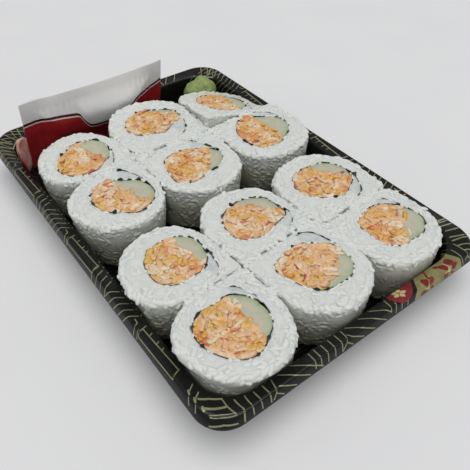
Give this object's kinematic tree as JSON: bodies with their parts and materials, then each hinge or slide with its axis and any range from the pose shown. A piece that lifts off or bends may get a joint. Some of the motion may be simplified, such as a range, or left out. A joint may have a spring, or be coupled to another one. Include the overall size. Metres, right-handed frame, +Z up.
{
  "type": "takeaway sushi tray",
  "caption": "Shallow black plastic takeaway tray filled with inside-out sushi rolls of rice, seaweed, crab salad and avocado, with a sauce sachet, wasabi and pickled ginger.",
  "frame": {"origin": "centre of the tray, on the surface that its foot stands on", "axes": "+X across the tray, +Y along its long side towards the sachet, +Z up"},
  "size_m": [0.145, 0.2106, 0.0459],
  "materials": {
    "tray_plastic": "glossy black thermoformed plastic",
    "print_gold": "thin gold-green printed line",
    "print_red": "dark red printed flower",
    "rice": "moist cooked rice grains",
    "nori": "thin dark seaweed",
    "crab": "flaked crab salad",
    "avocado": "smooth cut avocado",
    "sachet_film": "glossy printed laminate film",
    "wasabi": "soft moist paste",
    "ginger": "wet translucent slices"
  },
  "bodies": {
    "root": {"tray": "tray_plastic", "sachet": "sachet_film", "wasabi": "wasabi", "ginger": "ginger", "rice_01": "rice", "rice_02": "rice", "rice_03": "rice", "rice_04": "rice", "rice_05": "rice", "rice_06": "rice", "rice_07": "rice", "rice_08": "rice", "rice_09": "rice", "rice_10": "rice", "rice_11": "rice", "rice_12": "rice", "nori_01": "nori", "nori_02": "nori", "nori_03": "nori", "nori_04": "nori", "nori_05": "nori", "nori_06": "nori", "nori_07": "nori", "nori_08": "nori", "nori_09": "nori", "nori_10": "nori", "nori_11": "nori", "nori_12": "nori", "crab_01": "crab", "crab_02": "crab", "crab_03": "crab", "crab_04": "crab", "crab_05": "crab", "crab_06": "crab", "crab_07": "crab", "crab_08": "crab", "crab_09": "crab", "crab_10": "crab", "crab_11": "crab", "crab_12": "crab", "avocado_01": "avocado", "avocado_02": "avocado", "avocado_03": "avocado", "avocado_04": "avocado", "avocado_05": "avocado", "avocado_06": "avocado", "avocado_07": "avocado", "avocado_08": "avocado", "avocado_09": "avocado", "avocado_10": "avocado", "avocado_11": "avocado", "avocado_12": "avocado"}
  },
  "joints": []
}
